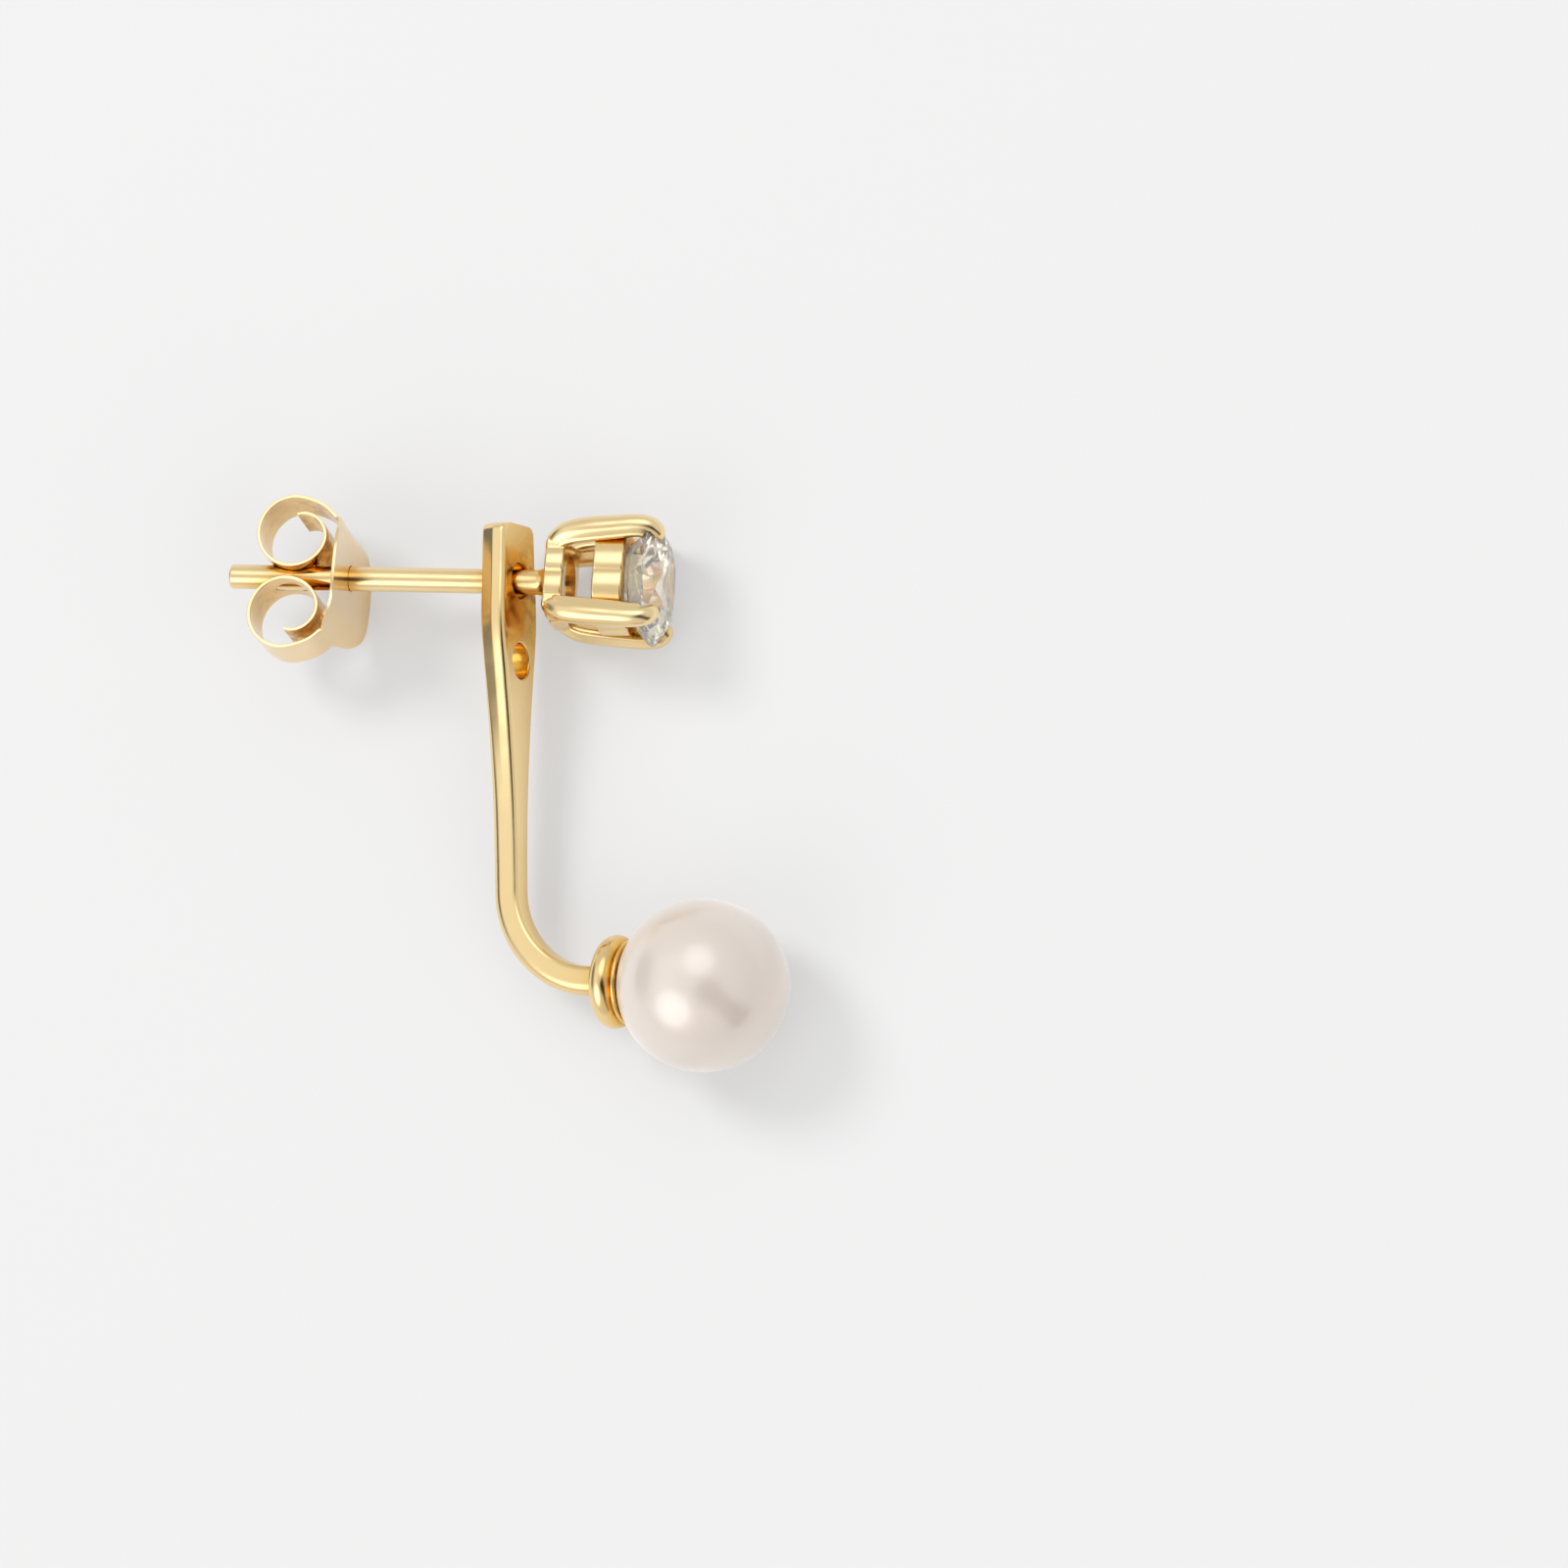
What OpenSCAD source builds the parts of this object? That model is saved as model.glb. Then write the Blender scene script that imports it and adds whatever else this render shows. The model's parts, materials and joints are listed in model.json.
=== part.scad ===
// A stud earring with an ear jacket, lying on its side as it comes to rest.
// A round stone sits in a four-prong basket on a post. A curved jacket hangs on
// the post and carries a pearl on a ring, and a butterfly clutch closes the post.
// Each piece is drawn as it is worn: X points forward, out of the stone's table,
// Z points up along the jacket's bar, and the post's axis is the X axis. It is
// then laid down, so that +Z in the finished part is up from the surface.
// All lengths are in millimetres.

/* [Pearl] */
// Diameter of the pearl
pearl_d = 6; // [5.8:0.1:6.2]
// How far the pearl's centre is below the post, along the bar
pearl_drop = 14.5; // [14:0.1:15.4]
// How far the pearl's centre is in front of the bar's face
pearl_forward = 6.89; // [6.6:0.1:7.2]
// Diameter of the hidden peg that the pearl sits on
peg_d = 0.8; // [0.6:0.1:1]
// How far the peg goes into the pearl
peg_depth = 2.2; // [1.5:0.1:2.6]

/* [Jacket] */
// Thickness of the bar at the post
bar_top_t = 1; // [0.8:0.05:1]
// Thickness of the bar where it meets the ring
bar_end_t = 1.04; // [0.9:0.02:1.1]
// Width of the bar at its widest
bar_wide_w = 2.72; // [2.5:0.1:2.9]
// Width of the bar from its bend to the ring
bar_end_w = 0.96; // [0.85:0.05:1.1]
// How far the bar reaches above the post
bar_top = 2; // [1.8:0.05:2.1]
// Diameter of the two holes for the post
hole_d = 1.26; // [1.24:0.02:1.3]
// Distance between the two holes
hole_pitch = 2.85; // [2.6:0.05:3.2]
// Radius of the bar's bend at its front face
bend_r = 2.72; // [2.4:0.1:2.9]
// How far the bar's end points down from square to the bar, in degrees
run_down = 3.8; // [0:0.2:8]
// Mean diameter of the ring that holds the pearl
ring_d = 2.34; // [2.1:0.05:2.5]
// Diameter of the ring's round section
ring_wire_d = 0.94; // [0.8:0.05:1]

/* [Stud] */
// Diameter of the post
post_d = 0.87; // [0.8:0.01:0.88]
// How far the post's tip is behind the bar's face
post_back = 10.6; // [10:0.1:12]
// How far the basket's base is in front of the bar's face
basket_front = 1.1; // [0.9:0.1:1.4]
// Diameter of a prong
prong_d = 0.76; // [0.7:0.02:0.8]
// Diameter of the stone at its girdle
stone_d = 4.4; // [4.2:0.1:4.6]

/* [Clutch] */
// How far the clutch's plate is behind the bar's face
clutch_back = 6.4; // [5:0.1:7]
// Thickness of the clutch's sheet
sheet_t = 0.12; // [0.1:0.01:0.15]
// Width of the clutch's plate
plate_w = 5.4; // [5:0.1:5.6]
// Height of the clutch's plate between its two folds
plate_h = 4; // [3.6:0.1:4.2]
// Width of the strips that curl into the clutch's coils
strip_w = 1.8; // [1.5:0.1:1.9]
// Outer radius of the clutch's coils
coil_r = 1.23; // [1.1:0.01:1.25]

/* [Lying pose] */
// How far the jacket's face is turned up from upright, in degrees
face_up = 12.6; // [11:0.1:13]
// How far the jacket's lower end is swung forward on the surface, in degrees
jacket_swing = 2.85; // [1:0.05:4]
// How far the stud is rolled about its post, in degrees
stud_roll = 7.3; // [0:0.1:8]

/* [Hidden] */
$fn = 64;

yellow_gold = "#d9b45c";
rose_gold = "#e3b98a";
clear_stone = "#e9ecef";
cream_pearl = "#e9ded3";

fine_gap = 0.035;       // between a piece and what it fits round
overlap = 0.05;         // how far one form runs into the next of the same piece
pearl_r = pearl_d / 2;
post_r = post_d / 2;
hole_r = hole_d / 2;
prong_r = prong_d / 2;
stone_r = stone_d / 2;
ring_r = ring_d / 2;
ring_wire_r = ring_wire_d / 2;
peg_r = peg_d / 2;

// The stone: its girdle plane and cut, all measured from the girdle's middle
girdle_x = basket_front + 3.62;
girdle_half = 0.05;     // half the girdle's thickness
table_r = 0.62 * stone_r;
crown_tilt = 31.5;
pavilion_tilt = 40.5;
table_z = girdle_half + (stone_r - table_r) * tan(crown_tilt);
culet_z = -girdle_half - stone_r * tan(pavilion_tilt);

// The basket: a round base, and two square rails as distances in front of the
// base's back
base_t = 0.35;
base_r = 1.3;
base_rail = [0, 0.71];
upper_rail = [1.82, 2.82];

// The centre line of a prong: distance in front of the base's back, distance from
// the post's axis, and radius of the prong there as a share of prong_r
PRONG_X = 0;
PRONG_OUT = 1;
PRONG_SHARE = 2;
prong_line = [
    [0.16, 0.90, 1.10],
    [0.16, 1.30, 1.10],
    [0.23, 1.60, 1.10],
    [0.45, 1.84, 1.10],
    [0.80, 1.97, 1.10],
    [1.50, 2.08, 1.08],
    [2.40, 2.20, 1.02],
    [3.15, 2.28, 0.98],
    [3.60, 2.23, 0.95],
    [3.83, 2.06, 0.85],
    [3.90, 1.87, 0.65],
    [3.90, 1.74, 0.30],
];

// The rounding of the bar's front edges and of its back edges
bar_edge_r = 0.22;
bar_back_r = 0.3;

// The bar's width along it: distance below the post, and width
BAR_W = 1;
bar_widths = [
    [-bar_top, 2.40],
    [-0.60, 2.54],
    [1.50, bar_wide_w],
    [3.70, 2.10],
    [5.40, 1.62],
    [7.70, 1.16],
    [9.50, 1.00],
    [11.50, bar_end_w],
    [30.00, bar_end_w],
];

// A coil of the clutch: turn about its middle from the side of the plate, in
// degrees, and its outer radius as a share of coil_r
COIL_SHARE = 1;
coil_line = [
    [20, 1.24],
    [40, 1.13],
    [62, 1.02],
    [85, 1.00],
    [180, 0.98],
    [268, 1.00],
    [345, 0.95],
    [372, 0.83],
    [405, 0.65],
    [438, 0.46],
];

// The coils' middles: behind the plate's front face, and out from the post's axis
upper_coil_behind = 1.91;
upper_coil_out = 1.48;
lower_coil_behind = 1.99;
lower_coil_out = 1.55;

// The outline of the clutch's plate, along the coils' row and across it
plate_outline = [for (a = [0 : 9 : 351])
    let (c = cos(a), s = sin(a))
    [
        plate_h / 2 * sign(c) * pow(abs(c), 0.75),
        plate_w / 2 * sign(s) * pow(abs(s), 0.75),
    ]];

// The value at s of a smooth curve through the rows of a table, sorted by column 0
function row_before(table, s) =
    max([for (i = [0 : len(table) - 2]) table[i][0] <= s || i == 0 ? i : 0]);
function slope(table, i, column) =
    let (a = max(i - 1, 0), b = min(i + 1, len(table) - 1))
    (table[b][column] - table[a][column]) / (table[b][0] - table[a][0]);
function smooth(table, s, column) =
    let (
        i = row_before(table, s),
        step = table[i + 1][0] - table[i][0],
        t = (s - table[i][0]) / step,
        from = table[i][column],
        to = table[i + 1][column]
    )
    from * (2 * pow(t, 3) - 3 * pow(t, 2) + 1) + to * (3 * pow(t, 2) - 2 * pow(t, 3))
    + step * slope(table, i, column) * (pow(t, 3) - 2 * pow(t, 2) + t)
    + step * slope(table, i + 1, column) * (pow(t, 3) - pow(t, 2));

// Joins a list of closed rings, each with the same number of points, into a solid
module skin(rings) {
    n = len(rings[0]);
    last = len(rings) - 1;
    polyhedron(
        points = [for (ring = rings) for (point = ring) point],
        faces = concat(
            [[for (i = [n - 1 : -1 : 0]) i]],
            [for (k = [0 : last - 1], i = [0 : n - 1])
                [k * n + i, k * n + (i + 1) % n, (k + 1) * n + i]],
            [for (k = [0 : last - 1], i = [0 : n - 1])
                [k * n + (i + 1) % n, (k + 1) * n + (i + 1) % n, (k + 1) * n + i]],
            [[for (i = [0 : n - 1]) last * n + i]]
        ),
        convexity = 8
    );
}

// Turns a form drawn round the Z axis so that it lies round the X axis, Z forward
module along_post() {
    rotate([0, 90, 0]) children();
}

// The basket's prongs, rails and base

module prong() {
    sides = 12;
    last = len(prong_line) - 1;
    rings = [for (i = [0 : last])
        let (
            row = prong_line[i],
            before = prong_line[max(i - 1, 0)],
            after = prong_line[min(i + 1, last)],
            turn = atan2(after[PRONG_OUT] - before[PRONG_OUT], after[PRONG_X] - before[PRONG_X])
        )
        [for (k = [0 : sides - 1])
            let (
                a = 360 * k / sides,
                r = prong_r * row[PRONG_SHARE],
                out = r * cos(a)
            )
            [
                basket_front + row[PRONG_X] - out * sin(turn),
                r * sin(a),
                row[PRONG_OUT] + out * cos(turn),
            ]]
    ];
    skin(rings);
}

// A square ring with rounded corners between the prongs
module rail(from_to, outer, inner) {
    translate([basket_front + from_to[0], 0, 0])
        along_post()
            linear_extrude(from_to[1] - from_to[0])
                difference() {
                    intersection() {
                        square(2 * outer, center = true);
                        circle(r = 1.25 * outer);
                    }
                    circle(r = inner);
                }
}

// The room that the stone needs in its seat: its outline grown by the fine gap
module stone_room() {
    r = stone_r + fine_gap;
    translate([girdle_x, 0, 0])
        along_post()
            rotate_extrude()
                polygon([
                    [0, culet_z - 1.4 * fine_gap],
                    [r, -girdle_half - fine_gap],
                    [r, girdle_half + fine_gap],
                    [table_r + fine_gap, table_z + fine_gap],
                    [0, table_z + fine_gap],
                ]);
}

// The fillet of solder where the post meets the basket
module post_fillet() {
    fillet_r = 0.5;
    translate([basket_front, 0, 0])
        along_post()
            rotate_extrude()
                difference() {
                    translate([0, -fillet_r])
                        square([post_r + fillet_r, fillet_r + overlap]);
                    translate([post_r + fillet_r, -fillet_r])
                        circle(r = fillet_r);
                }
}

// The post, with its tip rounded off
module post() {
    tip_r = 0.12;
    length = post_back + basket_front + base_t / 2;
    translate([-post_back, 0, 0])
        along_post() {
            translate([0, 0, tip_r])
                cylinder(h = length - tip_r, r = post_r);
            rotate_extrude()
                intersection() {
                    union() {
                        square([post_r - tip_r, 2 * tip_r]);
                        translate([post_r - tip_r, tip_r])
                            circle(r = tip_r);
                    }
                    square([post_r, tip_r + overlap]);
                }
        }
}

module stud_setting() {
    color(yellow_gold)
        lay_stud()
            difference() {
                union() {
                    post();
                    post_fillet();
                    translate([basket_front, 0, 0])
                        along_post()
                            cylinder(h = base_t, r = base_r);
                    rail(base_rail, 1.38, 0.95);
                    rail(upper_rail, 1.70, 1.25);
                    for (i = [0 : 3])
                        rotate([45 + 90 * i, 0, 0])
                            prong();
                }
                stone_room();
            }
}

// The stone, a round brilliant: its corners by height, then its facets

// Corners of the cut, all on the two sets of main facets: the eight points where
// the stars meet the crown's mains, and the eight where the pavilion's mains part
star_r = 0.81 * stone_r;
star_z = girdle_half + (stone_r - star_r * cos(22.5)) * tan(crown_tilt);
part_r = 0.26 * stone_r;
part_z = -girdle_half - (stone_r - part_r * cos(22.5)) * tan(pavilion_tilt);

function round_point(r, turn, z) = [r * cos(turn), r * sin(turn), z];

// The height at which the vertical through p meets the plane of a, b and c
function plane_height(a, b, c, p) =
    let (n = cross(b - a, c - a))
    a[2] - (n[0] * (p[0] - a[0]) + n[1] * (p[1] - a[1])) / n[2];

// The edge of the girdle, wavy because flat facets cut the round stone
function girdle_edge(inner_r, inner_z, z, steps) =
    [for (k = [0 : 15], i = [0 : steps - 1])
        let (
            corner_turn = 22.5 * (k % 2 == 0 ? k + 1 : k),
            p = round_point(stone_r, 22.5 * (k + i / steps), z)
        )
        [p[0], p[1], plane_height(
            round_point(inner_r, corner_turn, inner_z),
            round_point(stone_r, 22.5 * k, z),
            round_point(stone_r, 22.5 * (k + 1), z),
            p
        )]];

module stone() {
    steps = 4;
    count = 16 * steps;
    stars = 8;
    top = 16;
    bottom = top + count;
    parts = bottom + count;
    culet = parts + 8;
    points = concat(
        [for (k = [0 : 7]) round_point(table_r, 45 * k, table_z)],
        [for (k = [0 : 7]) round_point(star_r, 45 * k + 22.5, star_z)],
        girdle_edge(star_r, star_z, girdle_half, steps),
        girdle_edge(part_r, part_z, -girdle_half, steps),
        [for (k = [0 : 7]) round_point(part_r, 45 * k + 22.5, part_z)],
        [[0, 0, culet_z]]
    );
    faces = concat(
        [[for (k = [7 : -1 : 0]) k]],
        [for (k = [0 : 7]) [k, (k + 1) % 8, stars + k]],
        [for (k = [0 : 7]) [k, stars + k, top + 2 * steps * k, stars + (k + 7) % 8]],
        [for (k = [0 : 15]) concat([stars + floor(k / 2)],
            [for (i = [steps : -1 : 0]) top + (steps * k + i) % count])],
        [for (j = [0 : count - 1])
            [top + j, top + (j + 1) % count, bottom + (j + 1) % count, bottom + j]],
        [for (k = [0 : 15]) concat([parts + floor(k / 2)],
            [for (i = [0 : steps]) bottom + (steps * k + i) % count])],
        [for (k = [0 : 7])
            [culet, parts + (k + 7) % 8, bottom + 2 * steps * k, parts + k]]
    );
    color(clear_stone)
        lay_stud()
            translate([girdle_x, 0, 0])
                along_post()
                    polyhedron(points = points, faces = faces);
}

// The jacket: where its ring stands, and the bar's bend down to it

ring_back = sqrt(pow(pearl_r + ring_wire_r + fine_gap, 2) - pow(ring_r, 2));
run_dir = [cos(run_down), 0, -sin(run_down)];
run_up = [sin(run_down), 0, cos(run_down)];
pearl_at = [pearl_forward, 0, -pearl_drop];
ring_at = pearl_at - ring_back * run_dir;
web_t = 0.35;           // the disc that closes the ring behind

// The bar's front face turns round a circle down to the straight run to the ring
bend_turn = 90 - run_down;
bend_end_x = bend_r * (1 - cos(bend_turn));
bend_top_z = ring_at[2] + bend_r * sin(bend_turn)
    + (bar_end_t / 2 - (bend_end_x - ring_at[0]) * sin(run_down)) / cos(run_down);

// A station of the bar: its point on the front face's middle line, the way the
// bar runs there, the width and the thickness
function station(point, along, down) =
    let (
        corner = 0.3,
        into = min(max(down + bar_top, 0), corner),
        rounding = corner - sqrt(pow(corner, 2) - pow(corner - into, 2)),
        thin = min(max(down / 9, 0), 1)
    )
    [point, along, smooth(bar_widths, down, BAR_W) - 2 * rounding,
        bar_top_t + (bar_end_t - bar_top_t) * thin];

top_steps = [0, 0.03, 0.1, 0.2, 0.3];
straight_steps = 22;
bend_steps = 12;
bar_stations = concat(
    [for (s = top_steps) station([0, 0, bar_top - s], [0, 0, -1], s - bar_top)],
    [for (i = [1 : straight_steps])
        let (z = bar_top - 0.3 + (bend_top_z - bar_top + 0.3) * i / straight_steps)
        station([0, 0, z], [0, 0, -1], -z)],
    [for (i = [1 : bend_steps])
        let (a = bend_turn * i / bend_steps)
        station([bend_r * (1 - cos(a)), 0, bend_top_z - bend_r * sin(a)],
            [sin(a), 0, -cos(a)], bend_r * sin(a) - bend_top_z)],
    [station(ring_at - 0.4 * web_t * run_dir + bar_end_t / 2 * run_up, run_dir, 20)]
);

// The bar's section, across and behind the face: flat in front and at the sides,
// with its edges rounded
function bar_section(w, t) =
    let (
        front = min(bar_edge_r, 0.3 * w),
        back = min(bar_back_r, 0.35 * w),
        turns = [0 : 30 : 90]
    )
    concat(
        [for (a = turns) [front - w / 2 - front * cos(a), front - front * sin(a)]],
        [for (a = turns) [w / 2 - front + front * sin(a), front - front * cos(a)]],
        [for (a = turns) [w / 2 - back + back * cos(a), t - back + back * sin(a)]],
        [for (a = turns) [back - w / 2 - back * sin(a), t - back + back * cos(a)]]
    );

module bar() {
    skin([for (s = bar_stations)
        let (point = s[0], along = s[1], face = [-along[2], 0, along[0]])
        [for (p = bar_section(s[2], s[3])) point + [0, p[0], 0] - p[1] * face]]);
}

// Turns a form drawn round the Z axis to stand on the ring's axis, Z to the pearl
module on_ring() {
    translate(ring_at)
        rotate([0, 90 + run_down, 0])
            children();
}

module pearl_ring() {
    on_ring()
        rotate_extrude() {
            translate([ring_r, 0])
                circle(r = ring_wire_r);
            translate([0, -web_t])
                square([ring_r, web_t]);
        }
}

module post_hole(down) {
    lip = 0.07;
    translate([0, 0, -down])
        along_post() {
            translate([0, 0, -2 * bar_top_t])
                cylinder(h = 3 * bar_top_t, r = hole_r);
            translate([0, 0, -lip])
                cylinder(h = 2 * lip, r1 = hole_r, r2 = hole_r + 2 * lip);
            translate([0, 0, -bar_top_t - lip])
                cylinder(h = 2 * lip, r1 = hole_r + 2 * lip, r2 = hole_r);
        }
}

module jacket() {
    peg_length = ring_back - sqrt(pow(pearl_r, 2) - pow(peg_r, 2)) + peg_depth;
    color(yellow_gold)
        lay_jacket()
            difference() {
                union() {
                    bar();
                    pearl_ring();
                    on_ring()
                        translate([0, 0, -0.2])
                            cylinder(h = peg_length + 0.2, r = peg_r);
                }
                post_hole(0);
                post_hole(hole_pitch);
            }
}

module pearl() {
    bore_depth = peg_depth + 0.2;
    color(cream_pearl)
        lay_jacket()
            on_ring()
                translate([0, 0, ring_back])
                    difference() {
                        sphere(r = pearl_r);
                        translate([0, 0, -pearl_r - 1])
                            cylinder(h = bore_depth + 1, r = peg_r + fine_gap);
                    }
}

// The clutch: a plate with two tongues that curl back into coils

// A strip with its coil's middle behind the plate's front and out from the post,
// from inside the plate to the coil's end
module coil_strip(behind, out) {
    start = behind / coil_r;
    line = concat([[-8, start], [2, 0.985 * start]], coil_line);
    last = line[len(line) - 1][0];
    turns = [-8 : (last + 8) / 49 : last];
    outer = [for (a = turns) coil_r * smooth(line, a, COIL_SHARE) * [cos(a), sin(a)]];
    inner = [for (a = turns)
        (coil_r * smooth(line, a, COIL_SHARE) - sheet_t) * [cos(a), sin(a)]];
    translate([-clutch_back - behind + sheet_t / 2, 0, out])
        rotate([90, 0, 0])
            linear_extrude(strip_w, center = true)
                polygon(concat(outer, [for (i = [len(inner) - 1 : -1 : 0]) inner[i]]));
}

module clutch_plate() {
    upper_end = upper_coil_out - sheet_t;
    lower_end = lower_coil_out - sheet_t;
    translate([-clutch_back - sheet_t / 2, 0, 0])
        along_post()
            linear_extrude(sheet_t)
                union() {
                    polygon(plate_outline);
                    translate([-upper_end, -strip_w / 2])
                        square([upper_end + lower_end, strip_w]);
                }
}

module clutch() {
    color(rose_gold)
        lay_stud()
            difference() {
                union() {
                    clutch_plate();
                    coil_strip(upper_coil_behind, upper_coil_out);
                    mirror([0, 0, 1])
                        coil_strip(lower_coil_behind, lower_coil_out);
                }
                // the post's way through the plate and between the coils
                translate([-clutch_back - 2 * lower_coil_behind, 0, 0])
                    along_post()
                        cylinder(h = 3 * lower_coil_behind, r = post_r + fine_gap);
            }
}

// Lays the pieces down. The stud rests on the stone's edge between two prongs and
// on the edge of the clutch's plate, and the jacket hangs on the post and rests on
// the pearl.

girdle_front = girdle_x + girdle_half;
plate_reach = max([for (p = plate_outline) p[1] * cos(stud_roll) + p[0] * sin(stud_roll)]);
stud_pitch = atan((plate_reach - stone_r) / (clutch_back + girdle_front));
stud_height = stone_r * cos(stud_pitch) + girdle_front * sin(stud_pitch);
hole_middle = [-bar_top_t / 2, 0, 0];
reach_up = (pearl_forward + bar_top_t / 2) * sin(face_up);
jacket_roll = atan2(reach_up, pearl_drop)
    - asin((pearl_r - stud_height) / norm([pearl_drop, reach_up]));
middle_x = -0.09;
middle_y = -7.22;

module lay_stud() {
    translate([-middle_x, -middle_y, stud_height])
        rotate([-90 - stud_roll, stud_pitch, 0])
            children();
}

module lay_jacket() {
    translate([-middle_x, -middle_y, stud_height])
        rotate([0, stud_pitch, 0])
            translate(hole_middle)
                rotate([0, -stud_pitch, 0])
                    rotate([jacket_roll, 0, jacket_swing])
                        rotate([-90, -face_up, 0])
                            translate(-hole_middle)
                                children();
}

stud_setting();
stone();
jacket();
pearl();
clutch();
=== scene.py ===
"""A gold stud with a pearl ear jacket, lying on a white studio floor."""

import json

from math import asin, cos, degrees, hypot, pi, radians, sin, sqrt, tan

import bmesh
import bpy
from mathutils import Matrix, Vector


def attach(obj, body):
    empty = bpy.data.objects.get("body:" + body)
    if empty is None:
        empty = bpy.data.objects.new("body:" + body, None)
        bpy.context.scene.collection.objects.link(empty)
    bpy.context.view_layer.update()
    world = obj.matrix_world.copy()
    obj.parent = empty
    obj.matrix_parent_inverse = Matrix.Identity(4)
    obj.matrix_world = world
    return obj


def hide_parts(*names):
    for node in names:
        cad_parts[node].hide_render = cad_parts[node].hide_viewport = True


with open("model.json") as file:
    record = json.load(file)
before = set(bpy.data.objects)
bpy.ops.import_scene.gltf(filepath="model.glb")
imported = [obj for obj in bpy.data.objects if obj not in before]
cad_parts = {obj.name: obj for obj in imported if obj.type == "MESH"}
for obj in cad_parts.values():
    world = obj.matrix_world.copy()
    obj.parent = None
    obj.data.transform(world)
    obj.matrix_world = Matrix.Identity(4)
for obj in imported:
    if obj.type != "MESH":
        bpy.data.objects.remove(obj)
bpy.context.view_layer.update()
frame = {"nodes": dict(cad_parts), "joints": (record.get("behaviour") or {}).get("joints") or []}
nodes = frame["nodes"]
MM = 0.001

# From the record: the direction of the post's axis, and the point where the bar's face meets it
joints = {joint["name"]: joint for joint in frame["joints"]}
POST_AXIS = Vector(joints["jacket_swing"]["axis"]).normalized()
POST_START = Vector(joints["jacket_swing"]["pos_m"])


def add_object(name, data):
    obj = bpy.data.objects.new(name, data)
    bpy.context.scene.collection.objects.link(obj)
    return obj


# How the stud and the jacket lie. Each is drawn as it is worn, in millimetres: X points
# forward out of the stone, Z up along the bar, and the post's axis is the X axis.

# The stud's roll about its post, and the jacket's roll, swing and turn from upright, in degrees
STUD_ROLL = 7.3
JACKET_ROLL = 4.0577
JACKET_SWING = 2.85
FACE_UP = 12.6
# The bar's thickness at the hole that it hangs by
BAR_TOP_T = 1.0


def turn(angle, axis):
    return Matrix.Rotation(radians(angle), 4, axis)


to_post = Matrix.Translation(POST_START)
stud_pitch = turn(degrees(asin(-POST_AXIS.z)), "Y")
lay_stud = to_post @ stud_pitch @ turn(-90 - STUD_ROLL, "X") @ Matrix.Scale(MM, 4)
hole_middle = Vector((-BAR_TOP_T / 2, 0, 0))
lay_jacket = (to_post @ Matrix.Translation(stud_pitch @ (hole_middle * MM))
              @ turn(JACKET_SWING, "Z") @ turn(JACKET_ROLL, "X") @ turn(-FACE_UP, "Y")
              @ turn(-90, "X") @ Matrix.Scale(MM, 4) @ Matrix.Translation(-hole_middle))


# The camera

# The photo's frame is 1600 pixels wide, and a millimetre at the post covers 28.8
PHOTO_WIDTH = 1600
PIXELS_PER_MM = 28.8
CAMERA_DISTANCE = 170 * MM
CLIP_START = 5 * MM
SENSOR_WIDTH = 36
POST_PIXEL = (532.7, 594.0)
VIEW_RIGHT = radians(15)
VIEW_DOWN = radians(11)
VIEW_ROLL = radians(3.35)


def make_camera():
    """A camera above the earring that looks down on it, a little from the right and below."""
    back = Vector((tan(VIEW_RIGHT), -tan(VIEW_DOWN), 1)).normalized()
    place = POST_START + back * CAMERA_DISTANCE
    focal = PIXELS_PER_MM * CAMERA_DISTANCE / MM
    up = Vector((0, 1, 0))
    up = (up - up.dot(back) * back).normalized()
    right = up.cross(back)
    right, up = (right * cos(VIEW_ROLL) + up * sin(VIEW_ROLL),
                 up * cos(VIEW_ROLL) - right * sin(VIEW_ROLL))
    looking = Matrix((right, up, back)).transposed()

    # turned away from the post, so that the post comes to its own place in the picture
    off_axis = Vector(((POST_PIXEL[0] - PHOTO_WIDTH / 2) / focal,
                       (PHOTO_WIDTH / 2 - POST_PIXEL[1]) / focal, -1)).normalized()
    aside = Vector((0, 0, -1)).rotation_difference(off_axis).to_matrix()
    turned = looking @ aside.transposed()

    data = bpy.data.cameras.new("camera")
    data.sensor_width = SENSOR_WIDTH
    data.lens = focal / PHOTO_WIDTH * data.sensor_width
    data.clip_start = CLIP_START
    camera = add_object("camera", data)
    camera.matrix_world = Matrix.Translation(place) @ turned.to_4x4()
    bpy.context.scene.camera = camera


# Materials

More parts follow.
